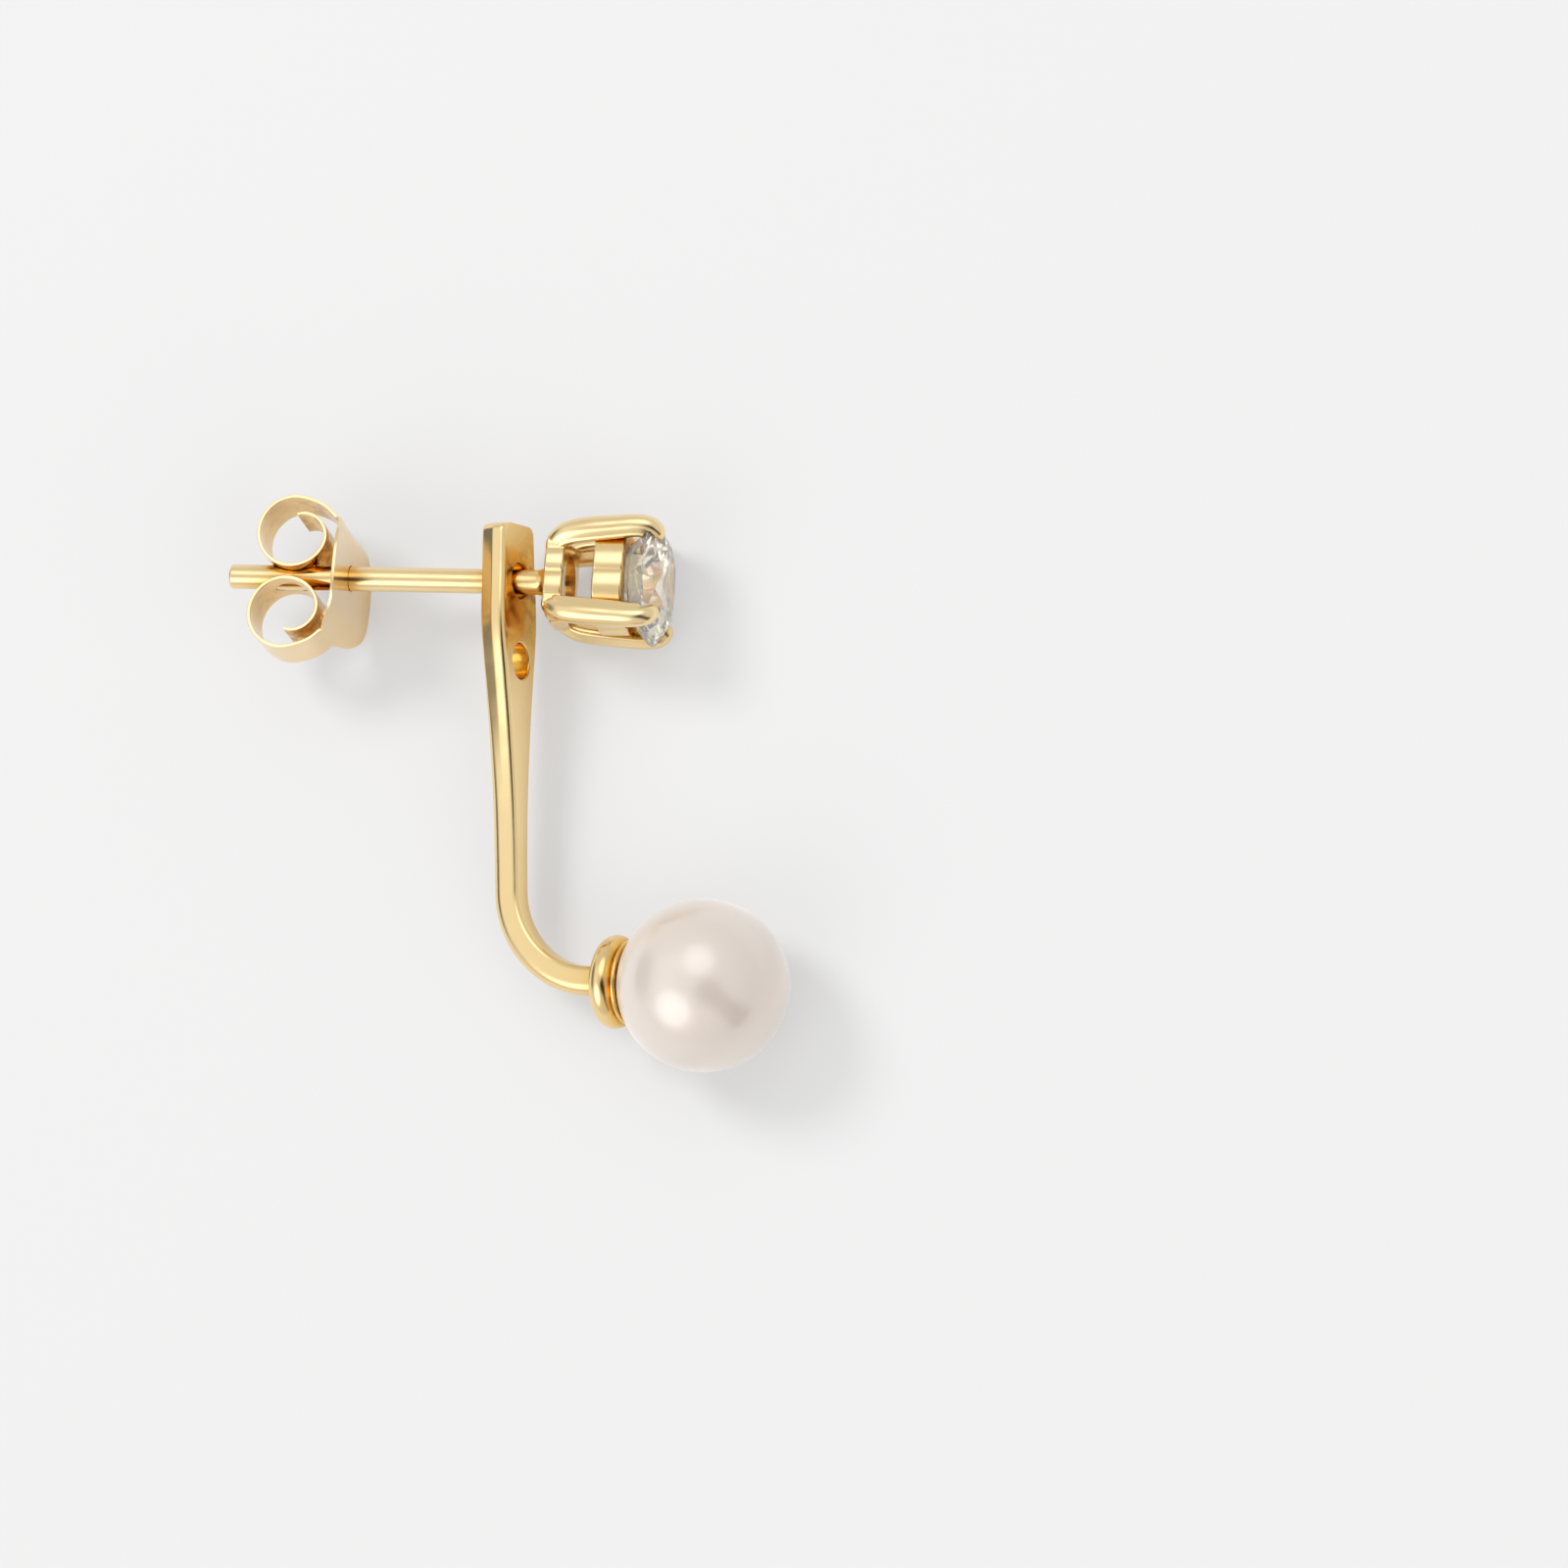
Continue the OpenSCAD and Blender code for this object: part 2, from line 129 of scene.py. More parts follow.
class Nodes:
    """The nodes of a material or a world, with short ways to add and join them."""

    def __init__(self, owner, shader):
        owner.use_nodes = True
        self.owner = owner
        self.tree = owner.node_tree
        self.shader = self.tree.nodes[shader]

    def put(self, socket, value):
        if isinstance(value, bpy.types.NodeSocket):
            self.tree.links.new(value, socket)
        else:
            socket.default_value = value

    def add(self, kind, inputs=None, **settings):
        node = self.tree.nodes.new("ShaderNode" + kind)
        for key, value in settings.items():
            setattr(node, key, value)
        for key, value in (inputs or {}).items():
            self.put(node.inputs[key], value)
        return node

    def set(self, **inputs):
        """Puts values or other nodes' results on the shader's own sockets."""
        for key, value in inputs.items():
            self.put(self.shader.inputs[key.replace("_", " ")], value)

    def noise(self, scale, detail, roughness=0.5):
        place = self.add("TexCoord").outputs["Object"]
        return self.add("TexNoise", {"Vector": place, "Scale": scale, "Detail": detail,
                                     "Roughness": roughness}).outputs["Fac"]

    def range(self, value, low, high, to_low=0, to_high=1, **settings):
        return self.add("MapRange", {"Value": value, "From Min": low, "From Max": high,
                                     "To Min": to_low, "To Max": to_high},
                        **settings).outputs["Result"]

    def math(self, operation, first, second=0):
        return self.add("Math", {0: first, 1: second}, operation=operation).outputs["Value"]

    def blend(self, factor, first, second):
        mix = self.add("Mix", data_type="RGBA")
        self.put(mix.inputs["Factor"], factor)
        self.put(mix.inputs["A"], first)
        self.put(mix.inputs["B"], second)
        return mix.outputs["Result"]


def surface(name):
    return Nodes(bpy.data.materials.new(name), "Principled BSDF")


# How fine each pattern in the gold is: more is finer
WAVES, TINT, FINISH, SHADE_SPECKS = 700, 260, 1500, 2600
WAVE_HEIGHT = 0.012 * MM
# Painted reflection and shade: the deep orange that corners are painted in, where gold mirrors gold
PAINTED_CORNER_REFLECTION = (0.78, 0.41, 0.03, 1)
# Painted shade: the dark brown painted in specks into the deepest hollows
HOLLOW_SHADE_BROWN = (0.30, 0.13, 0.03, 1)


def gold(name, colour, deep, rough, reach, open_at, shut_at=0.30):
    """Polished gold: soft waves left by the polishing wheel, a finish that varies a little, a
    painted reflection and painted shade in a deeper colour in the corners within reach of each
    other, where gold mirrors gold, and painted shade in brown specks in the deepest hollows."""
    m = surface(name)
    tint = m.range(m.noise(TINT, 3.0), 0.35, 0.65)
    colour = m.blend(tint, colour, deep)
    open_air = m.add("AmbientOcclusion", {"Distance": reach * MM}, samples=6).outputs["AO"]
    # Painted reflection and shade: where the occlusion finds a corner shut in, the colour turns
    # deep orange
    painted_corner = m.range(open_air, shut_at, open_at, 0.95, 0)
    colour = m.blend(painted_corner, colour, PAINTED_CORNER_REFLECTION)
    # Painted shade: brown specks darken the deepest hollows, where the occlusion is lowest
    specks = m.range(m.noise(SHADE_SPECKS, 3.0), 0.46, 0.56, 0, 0.7)
    hollow_shade = m.range(open_air, 0.20, 0.58, 1, 0)
    colour = m.blend(m.math("MULTIPLY", specks, hollow_shade), colour, HOLLOW_SHADE_BROWN)
    waves = m.add("Bump", {"Height": m.noise(WAVES, 2.0, 0.45), "Distance": WAVE_HEIGHT})
    m.set(Base_Color=colour, Metallic=1.0,
          Roughness=m.range(m.noise(FINISH, 4.0), 0.3, 0.7, rough * 0.75, rough * 1.3),
          Normal=waves.outputs["Normal"])
    return m.owner


def clear_stone():
    """A clear stone with a warm cast that turns from rose to straw across it."""
    m = surface("clear_stone")
    cast = m.range(m.noise(900, 1.0), 0.40, 0.60)
    m.set(Base_Color=m.blend(cast, (1.0, 0.95, 0.90, 1), (1.0, 0.96, 0.72, 1)),
          Roughness=0.0, IOR=2.1, Transmission_Weight=0.88)
    return m.owner


def pearl_shell():
    """Nacre: a cream body with faint clouds, a soft pale sheen, and a clear glossy skin."""
    m = surface("pearl_nacre")
    cloud = m.range(m.noise(190, 2.0), 0.35, 0.65)
    m.set(Base_Color=m.blend(cloud, (0.595, 0.508, 0.438, 1), (0.575, 0.503, 0.448, 1)),
          Metallic=0.20, Roughness=0.38, IOR=1.6, Subsurface_Weight=0.2,
          Subsurface_Radius=(0.6, 0.4, 0.3), Subsurface_Scale=0.8 * MM,
          Coat_Weight=1.0, Coat_Roughness=0.18, Coat_IOR=2.1,
          Sheen_Weight=0.45, Sheen_Roughness=0.60, Sheen_Tint=(1.0, 0.94, 0.87, 1))
    return m.owner


# Building forms. A form is a list of points and a list of faces.

def join_rings(rings, around=False):
    """A form from closed rings of points: the last joins the first if around, or else both
    ends are capped."""
    n, count = len(rings[0]), len(rings)
    points = [p for ring in rings for p in ring]
    faces = []
    for k in range(count if around else count - 1):
        a, b = k * n, (k + 1) % count * n
        for i in range(n):
            j = (i + 1) % n
            faces.append((a + i, a + j, b + j, b + i))
    if not around:
        faces.append(tuple(range(n - 1, -1, -1)))
        faces.append(tuple((count - 1) * n + i for i in range(n)))
    return points, faces


def circle(radius, steps):
    return [(radius * cos(2 * pi * k / steps), radius * sin(2 * pi * k / steps))
            for k in range(steps)]


def on_axis(x, y, z):
    return Vector((x, y, z))


def lathe(profile, place=on_axis, steps=96):
    """Turns a profile of (along, radius) round an axis; place maps (along, y, z) to a point."""
    return join_rings([[place(along, y, z) for y, z in circle(radius, steps)]
                       for along, radius in profile])


def arc(middle, radius, start, end, steps):
    """Points of an arc in a profile, from one angle to another in degrees."""
    turns = [radians(start + (end - start) * k / steps) for k in range(steps + 1)]
    return [(middle[0] + radius * cos(a), middle[1] + radius * sin(a)) for a in turns]


def merge(*forms):
    points, faces = [], []
    for form_points, form_faces in forms:
        start = len(points)
        points += form_points
        faces += [tuple(start + i for i in face) for face in form_faces]
    return points, faces


def curve_at(rows, s, column):
    """The value at s of a smooth curve through rows, sorted by their first column."""
    i = max([k for k in range(len(rows) - 1) if rows[k][0] <= s] or [0])

    def slope(k):
        a, b = max(k - 1, 0), min(k + 1, len(rows) - 1)
        return (rows[b][column] - rows[a][column]) / (rows[b][0] - rows[a][0])

    step = rows[i + 1][0] - rows[i][0]
    t = min(max((s - rows[i][0]) / step, 0), 1)
    first, second = rows[i][column], rows[i + 1][column]
    return (first * (2 * t ** 3 - 3 * t ** 2 + 1) + second * (3 * t ** 2 - 2 * t ** 3)
            + step * slope(i) * (t ** 3 - 2 * t ** 2 + t) + step * slope(i + 1) * (t ** 3 - t ** 2))


def form_object(name, form, lay=Matrix.Identity(4)):
    """An object of a closed form, with its faces turned outward."""
    points, faces = form
    data = bpy.data.meshes.new(name)
    data.from_pydata([tuple(p) for p in points], [], faces)
    data.transform(lay)
    data.update()
    mesh = bmesh.new()
    mesh.from_mesh(data)
    bmesh.ops.recalc_face_normals(mesh, faces=mesh.faces)
    mesh.to_mesh(data)
    mesh.free()
    return add_object(name, data)


def keep_shape(obj):
    """Puts the shape that the modifiers give into the mesh."""
    graph = bpy.context.evaluated_depsgraph_get()
    mesh = bpy.data.meshes.new_from_object(obj.evaluated_get(graph))
    obj.modifiers.clear()
    obj.data = mesh


def cut(obj, cutter):
    modifier = obj.modifiers.new("cut", "BOOLEAN")
    modifier.operation = "DIFFERENCE"
    modifier.solver = "EXACT"
    modifier.object = cutter
    keep_shape(obj)
    bpy.data.objects.remove(cutter)


def shade(obj, smooth):
    obj.data.polygons.foreach_set("use_smooth", [smooth] * len(obj.data.polygons))


def smooth_off(obj, angle):
    """Smooth shading that stays crisp at edges sharper than the angle and flat on large faces."""
    shade(obj, True)
    mesh = bmesh.new()
    mesh.from_mesh(obj.data)
    for edge in mesh.edges:
        if len(edge.link_faces) == 2 and edge.calc_face_angle() > radians(angle):
            edge.smooth = False
    mesh.to_mesh(obj.data)
    mesh.free()
    weight = obj.modifiers.new("weight", "WEIGHTED_NORMAL")
    weight.keep_sharp = True
    keep_shape(obj)


def join_parts(name, parts):
    """Joins the parts into the first of them, which takes the name."""
    bpy.ops.object.select_all(action="DESELECT")
    for part in parts:
        part.select_set(True)
    bpy.context.view_layer.objects.active = parts[0]
    bpy.ops.object.join()
    parts[0].name = name
    return parts[0]


def paint(obj, material):
    obj.data.materials.clear()
    obj.data.materials.append(material)


def dress(obj, material, body, node):
    paint(obj, material)
    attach(obj, body)
    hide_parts(node)


# The jacket

FINE_GAP = 0.035
POST_R = 0.435
# The bar: its top above the post, its rounded top corners, its thickness at the ring and how
# far down that is reached, its bend, and the slope of its end
BAR_TOP = 2.0
BAR_CORNER = 0.3
BAR_END_T = 1.04
BAR_END_FROM = 9
BEND_R = 2.72
RUN_DOWN = radians(3.8)
# Distance below the post, and width of the bar
BAR_WIDTHS = [(-BAR_TOP, 2.40), (-0.60, 2.54), (1.50, 2.72), (3.70, 2.10), (5.40, 1.62),
              (7.70, 1.16), (9.50, 1.00), (11.50, 0.96), (30.0, 0.96)]
# Its section: the face's dome and front edges, and in the wide bar how far its sides lean in,
# their angle at the back, and the back edges of the narrow and of the wide bar
FACE_DOME, FRONT_EDGE = 0.012, 0.22
SIDE_LEAN, SIDE_ANGLE = 0.15, 16
NARROW_BACK, WIDE_BACK = 0.40, 0.14
NARROW_BAR, WIDE_BAR = 1.2, 2.3
# Where the sides begin to lean: share of the thickness, and how far in
KNEE = [(0.40, 0), (0.46, 0.004), (0.52, 0.014)]
SECTION_STEPS, DOME_STEPS, STRAIGHT_STEPS, BEND_STEPS = 7, 8, 90, 40
TOP_ROWS = (0, 0.012, 0.03, 0.06, 0.1, 0.15, 0.2, 0.25, BAR_CORNER)

# Its two holes: radius, distance, rounded rims, and how far their cutter reaches past the bar
HOLE_R, HOLE_PITCH, HOLE_RIM, HOLE_OVER = 0.63, 2.85, 0.09, 0.3

# Turned forms close in a very small ring, not in one point
TINY = 0.0001

# The pearl, the ring that holds it, and the peg. The ring's profile has a flat back, a round
# bead and a lip, each an arc's middle, radius, angles and steps, and a cup that stands clear of
# the pearl.
PEARL_R = 3.0
PEARL_AT = Vector((6.89, 0, -14.5))
RING_R, RING_WIRE_R = 1.17, 0.47
RING_BACK = [(-0.33, TINY), (-0.34, 0.55)]
RING_BEAD = ((-0.02, 1.20), 0.44, 215, 22, 28)
RING_LIP = ((0.50, 1.39), 0.09, 155, 0, 10)
CUP_R, CUP_CLEAR, CUP_STEPS = 1.38, 0.045, 12
PEG = [(-0.2, 0.4), (2.8, 0.4)]
# Where the bar ends in the ring: before its middle, and as a distance below the post
BAR_STOP, BAR_STOP_DOWN = 0.14, 20

run_dir = Vector((cos(RUN_DOWN), 0, -sin(RUN_DOWN)))
run_up = Vector((sin(RUN_DOWN), 0, cos(RUN_DOWN)))
ring_back = sqrt((PEARL_R + RING_WIRE_R + FINE_GAP) ** 2 - RING_R ** 2)
ring_at = PEARL_AT - ring_back * run_dir
bend_turn = pi / 2 - RUN_DOWN
bend_end_x = BEND_R * (1 - cos(bend_turn))
bend_top_z = (ring_at.z + BEND_R * sin(bend_turn)
              + (BAR_END_T / 2 - (bend_end_x - ring_at.x) * sin(RUN_DOWN)) / cos(RUN_DOWN))


def share(value, low, high):
    """How far a value has come from low to high, from 0 to 1."""
    return min(max((value - low) / (high - low), 0), 1)


def bar_section(width, thick):
    """The bar's outline, across and behind the face: a barely domed face and rounded front edges.
    Where the bar is wide its sides lean in towards the back, where it is narrow they are round."""
    half = width / 2
    wide = share(width, NARROW_BAR, WIDE_BAR)
    lean = SIDE_LEAN * wide
    back = NARROW_BACK + (WIDE_BACK - NARROW_BACK) * wide
    outline = []
    for side, start, end in ((-1, -180, -90), (1, -90, 0)):
        outline += arc((side * (half - FRONT_EDGE), FACE_DOME + FRONT_EDGE), FRONT_EDGE,
                       start, end, SECTION_STEPS)
        if side < 0:
            for k in range(1, DOME_STEPS):
                u = k / DOME_STEPS * 2 - 1
                outline.append((u * (half - FRONT_EDGE), FACE_DOME * u * u))
    for side in (1, -1):
        down = [(side * (half - inset * wide), thick * part) for part, inset in KNEE]
        down += [(side * x, y) for x, y in arc((half - lean - back, thick - back), back,
                                               SIDE_ANGLE * wide, 90, SECTION_STEPS)]
        outline += down if side > 0 else down[::-1]
    return outline


def bar_stations():
    """Point on the face, the way the bar runs there, width and thickness."""
    rows = []

    def row(point, along, down):
        into = min(max(down + BAR_TOP, 0), BAR_CORNER)
        rounding = BAR_CORNER - sqrt(BAR_CORNER ** 2 - (BAR_CORNER - into) ** 2)
        rows.append((point, along, curve_at(BAR_WIDTHS, down, 1) - 2 * rounding,
                     BAR_TOP_T + (BAR_END_T - BAR_TOP_T) * share(down, 0, BAR_END_FROM)))

    down_way = Vector((0, 0, -1))
    for s in TOP_ROWS:
        row(Vector((0, 0, BAR_TOP - s)), down_way, s - BAR_TOP)
    corner_z = BAR_TOP - BAR_CORNER
    for i in range(1, STRAIGHT_STEPS + 1):
        z = corner_z + (bend_top_z - corner_z) * i / STRAIGHT_STEPS
        row(Vector((0, 0, z)), down_way, -z)
    for i in range(1, BEND_STEPS + 1):
        a = bend_turn * i / BEND_STEPS
        row(Vector((BEND_R * (1 - cos(a)), 0, bend_top_z - BEND_R * sin(a))),
            Vector((sin(a), 0, -cos(a))), BEND_R * sin(a) - bend_top_z)
    row(ring_at - BAR_STOP * run_dir + BAR_END_T / 2 * run_up, run_dir, BAR_STOP_DOWN)
    return rows


def make_bar():
    rings = []
    for point, along, width, thick in bar_stations():
        face = Vector((-along.z, 0, along.x))
        rings.append([point + Vector((0, across, 0)) - behind * face
                      for across, behind in bar_section(width, thick)])
    bar = form_object("jacket_form", join_rings(rings))

    rim = HOLE_R + HOLE_RIM
    profile = ([(HOLE_OVER, rim)] + arc((-HOLE_RIM, rim), HOLE_RIM, 0, -90, 9)
               + arc((-BAR_TOP_T + HOLE_RIM, rim), HOLE_RIM, -90, -180, 9)
               + [(-BAR_TOP_T - HOLE_OVER, rim)])

    def lower(x, y, z):
        return Vector((x, y, z - HOLE_PITCH))

    cut(bar, form_object("holes", merge(lathe(profile, steps=80), lathe(profile, lower, 80))))
    return bar


def along_run(start):
    """Places a turned form on the line of the bar's end, from the start."""
    def place(along, y, z):
        return start + along * run_dir + Vector((0, y, 0)) + z * run_up

    return place


def make_ring():
    """The ring that holds the pearl: a round bead, and a thin lip that hugs the pearl."""
    radii = [CUP_R * k / CUP_STEPS for k in range(CUP_STEPS, -1, -1)]
    cup = [(ring_back - sqrt(PEARL_R ** 2 - r ** 2) - CUP_CLEAR, max(r, TINY)) for r in radii]
    profile = RING_BACK + arc(*RING_BEAD) + arc(*RING_LIP) + cup
    return form_object("ring", lathe(profile, along_run(ring_at), 120))


def make_jacket():
    bar, ring = make_bar(), make_ring()
    peg = form_object("peg", lathe(PEG, along_run(ring_at), 32))
    for part, angle in ((bar, 32), (ring, 28), (peg, 32)):
        smooth_off(part, angle)
    join_parts("jacket_form", [bar, ring, peg])
    bar.data.transform(lay_jacket)
    jacket_gold = gold("jacket_gold", (0.94, 0.73, 0.39, 1), (0.92, 0.69, 0.34, 1),
                       rough=0.16, reach=3.0, open_at=0.95, shut_at=0.50)
    dress(bar, jacket_gold, "jacket", "jacket")


def make_pearl():
    profile = [(x, max(r, 5 * TINY)) for x, r in arc((0, 0), PEARL_R, 180, 0, 96)]
    pearl = form_object("pearl_form", lathe(profile, along_run(PEARL_AT), 160), lay_jacket)
    shade(pearl, True)
    dress(pearl, pearl_shell(), "jacket", "pearl")


# The stud

# The post's end, its rounded tip, and two places on its straight part
POST_BACK, POST_TIP, POST_STRAIGHT = 10.6, 0.12, (-5.0, 0.35)
# Where the basket's base begins
BASKET_FRONT = 1.1
# The solder between post and basket, and the base's rounded foot: beyond the front, and radius
FILLET_LONG, FILLET_HIGH = 0.62, 0.50
FOOT = [(0.02, 1.28), (0.08, 1.33), (0.30, 1.33), (0.35, 1.28), (0.35, TINY)]

# A rail: its span, its radius between the swells, the swells, the hole, and the prongs' roots
BASE_RAIL = ((-0.05, 0.64), 1.36, 0.27, 0.95, 0.22)
UPPER_RAIL = ((1.73, 2.82), 1.66, 0.22, 1.30, 0)
RAIL_EDGE, RAIL_SIDES = 0.09, 160
# The swells' roundness, and the share of a swell from which a root stands out
SWELL_POWER, ROOT_FROM = 0.75, 0.91

STONE_R = 2.2
GIRDLE_X, GIRDLE_HALF = BASKET_FRONT + 3.62, 0.085
# The stone's seat, cut out of the prongs: from the girdle, and radius
SEAT = [(-1.96, TINY), (-GIRDLE_HALF, STONE_R + FINE_GAP), (GIRDLE_HALF, STONE_R + FINE_GAP),
        (0.60, 1.39), (0.60, TINY)]

# A prong's radius, how much broader it is inside, and the stretch that its direction is read on
PRONG_R, PRONG_BROADER, PRONG_STRETCH = 0.38, 0.8, 0.05
PRONG_SIDES, PRONG_STEPS = 28, 66
# The centre line of a prong: in front of the base's back, from the post's axis, share of radius
PRONG_LINE = [(0.16, 0.90, 0.82), (0.16, 1.30, 0.82), (0.24, 1.60, 0.88), (0.48, 1.83, 0.98),
              (0.86, 2.00, 1.07), (1.50, 2.11, 1.10), (2.40, 2.21, 1.05), (3.15, 2.28, 1.00),
              (3.60, 2.23, 0.95), (3.83, 2.06, 0.85), (3.90, 1.87, 0.65), (3.90, 1.74, 0.30)]
# Each prong's place round the post's axis, in degrees from the bar's top, and share of its length
PRONG_AT = [(42.5, 1), (137.5, 1), (230.5, 1), (322, 0.96)]


def make_prong(angle, reach):
    """One prong, round outside and broader inside, swept along its centre line to a rounded tip,
    with the stone's seat cut out."""
    rows = [(k,) + row for k, row in enumerate(PRONG_LINE)]
    last = len(rows) - 1
    rings = []
    for i in range(PRONG_STEPS + 1):
        s = last * i / PRONG_STEPS
        x, out, size = (curve_at(rows, s, column) for column in (1, 2, 3))
        before, after = max(s - PRONG_STRETCH, 0), min(s + PRONG_STRETCH, last)
        dx, dout = (curve_at(rows, after, column) - curve_at(rows, before, column)
                    for column in (1, 2))
        length = hypot(dx, dout)
        nx, nout = -dout / length, dx / length
        r = PRONG_R * size
        ring = []
        for outward, side in circle(1, PRONG_SIDES):
            wide = r * (1 + PRONG_BROADER * max(-outward, 0))
            ring.append(Vector((BASKET_FRONT + reach * (x + r * outward * nx), wide * side,
                                out + r * outward * nout)))
        rings.append(ring)
    points, faces = join_rings(rings)
    spin = turn(angle, "X")
    prong = form_object("prong", ([spin @ p for p in points], faces))
    seat = lathe([(GIRDLE_X + x, r) for x, r in SEAT], steps=64)
    cut(prong, form_object("seat", seat))
    return prong


def make_rail(name, span, middle, bulge, inner, root):
    """A rail between the prongs: each side swells to either hand of a crease in its middle, and
    the prongs' roots stand out of it."""
    start, end = BASKET_FRONT + span[0], BASKET_FRONT + span[1]
    stations = (arc((start + RAIL_EDGE, RAIL_EDGE), RAIL_EDGE, 180, 270, 6)
                + arc((end - RAIL_EDGE, RAIL_EDGE), RAIL_EDGE, -90, 0, 6))
    rings = []
    for x, rounding in stations:
        ring = []
        for k in range(RAIL_SIDES):
            a = 2 * pi * k / RAIL_SIDES
            swell = abs(sin(2 * a))
            stand = max(swell - ROOT_FROM, 0) / (1 - ROOT_FROM)
            r = middle + bulge * swell ** SWELL_POWER + root * stand - rounding
            ring.append(Vector((x, r * sin(a), r * cos(a))))
        rings.append(ring)
    for x in (end, start):
        rings.append([Vector((x, y, z)) for z, y in circle(inner, RAIL_SIDES)])
    return form_object(name, join_rings(rings, around=True))


def make_post():
    rises = [radians(a) for a in range(10, 91, 8)]
    profile = ([(-POST_BACK, TINY)]
               + arc((-POST_BACK + POST_TIP, POST_R - POST_TIP), POST_TIP, 180, 90, 9)
               + [(x, POST_R) for x in POST_STRAIGHT]
               + [(BASKET_FRONT - FILLET_LONG + FILLET_LONG * sin(a),
                   POST_R + FILLET_HIGH - FILLET_HIGH * cos(a)) for a in rises]
               + [(BASKET_FRONT + x, r) for x, r in FOOT])
    return form_object("post", lathe(profile))


def make_setting():
    parts = [make_post(), make_rail("base_rail", *BASE_RAIL), make_rail("upper_rail", *UPPER_RAIL)]
    parts += [make_prong(angle, reach) for angle, reach in PRONG_AT]
    for part in parts:
        smooth_off(part, 40)
    setting = join_parts("setting_form", parts)
    setting.data.transform(lay_stud)
    stud_gold = gold("stud_gold", (0.94, 0.74, 0.41, 1), (0.92, 0.70, 0.37, 1),
                     rough=0.20, reach=1.0, open_at=0.92)
    dress(setting, stud_gold, "stud", "stud_setting")


# The clutch

CLUTCH_BACK = 6.4
SHEET_T, SHEET_EDGE = 0.12, 0.02
# The plate is a rounded oval that runs out into a strip on either side. Along the sheet its
# middle lies a little off the post's axis, and its ends reach a little past its height.
PLATE_W, PLATE_H, PLATE_SAG, PLATE_OVER = 5.4, 4.0, 0.2, 0.15
OVAL_POWER, OVAL_ROOT = 2.667, 0.375
STRIP_W, STRIP_BLEND = 1.8, 8
# How far behind the plate's back a point of the sheet's line still counts as the plate's
ON_PLATE = 0.2
# The plate's long edges bend back, by so much and within so far of its middle
PLATE_DISH, DISH_REACH = 0.10, 2.2
# Half of the plate's straight line, before it is softened into the coils
FLAT_HALF, FLAT_STEPS, SOFTENING = 1.15, 36, 6
COIL_R = 1.23
# Each coil's middle: behind the plate, and from the post's axis
UPPER_COIL = (1.91, 1.48)
LOWER_COIL = (1.99, 1.55)
# The coil's line: degrees round its middle from the plate, and share of its radius. Its start,
# before the first two degrees are over, follows the plate.
COIL_START, COIL_BEND, COIL_STEPS = -8, (2, 0.985), 130
COIL_LINE = [(20, 1.24), (40, 1.13), (62, 1.02), (85, 1.00), (180, 0.98), (268, 1.00),
             (345, 0.95), (372, 0.83), (405, 0.65), (438, 0.46)]
ACROSS_STEPS = 12
# The way for the post through plate and tongues: its ends, from the plate
THROUGH = (-4, 1)


def coil_path(behind, out):
    """The sheet's outer line from the plate round the coil: X and distance from the axis."""
    bend, part = COIL_BEND
    line = [(COIL_START, behind / COIL_R), (bend, part * behind / COIL_R)] + COIL_LINE
    path = []
    for k in range(COIL_STEPS + 1):
        a = COIL_START + (line[-1][0] - COIL_START) * k / COIL_STEPS
        r = COIL_R * curve_at(line, a, 1)
        path.append(Vector((-CLUTCH_BACK - behind + SHEET_T / 2 + r * cos(radians(a)),
                            out + r * sin(radians(a)))))
    return path


def sheet_line():
    """The sheet's outer line from one coil's end over the plate to the other's: X and height."""
    front = -CLUTCH_BACK + SHEET_T / 2
    plate = [Vector((front, FLAT_HALF - 2 * FLAT_HALF * k / FLAT_STEPS))
             for k in range(FLAT_STEPS + 1)]
    lower = [Vector((p.x, -p.y)) for p in coil_path(*LOWER_COIL)]
    line = coil_path(*UPPER_COIL)[::-1] + plate + lower
    # softened, so that the plate flows into its strips
    for _ in range(SOFTENING):
        line = [line[0]] + [(line[i - 1] + 2 * line[i] + line[i + 1]) / 4
                            for i in range(1, len(line) - 1)] + [line[-1]]
    return line


def sheet_half_width(s):
    """Half the sheet's width at a distance along it from the plate's middle."""
    oval = 1 - (s / (PLATE_H / 2 + PLATE_OVER)) ** OVAL_POWER
    wide = PLATE_W / 2 * max(oval, 0) ** OVAL_ROOT
    return (wide ** STRIP_BLEND + (STRIP_W / 2) ** STRIP_BLEND) ** (1 / STRIP_BLEND)


def sheet_section(half):
    """The sheet's outline, across and deep: flat faces, and edges with small rounded corners."""
    r = SHEET_EDGE
    outline = []
    for side in (1, -1):
        for k in range(8):
            a = radians(-90 + 30 * (k - (k > 3))) + (0 if side > 0 else pi)
            low = (k <= 3) == (side > 0)
            outline.append((side * (half - r) + r * cos(a),
                            (r if low else SHEET_T - r) + r * sin(a)))
        for k in range(1, ACROSS_STEPS):
            outline.append((side * (half - r) * (1 - 2 * k / ACROSS_STEPS),
                            SHEET_T if side > 0 else 0.0))
    return outline


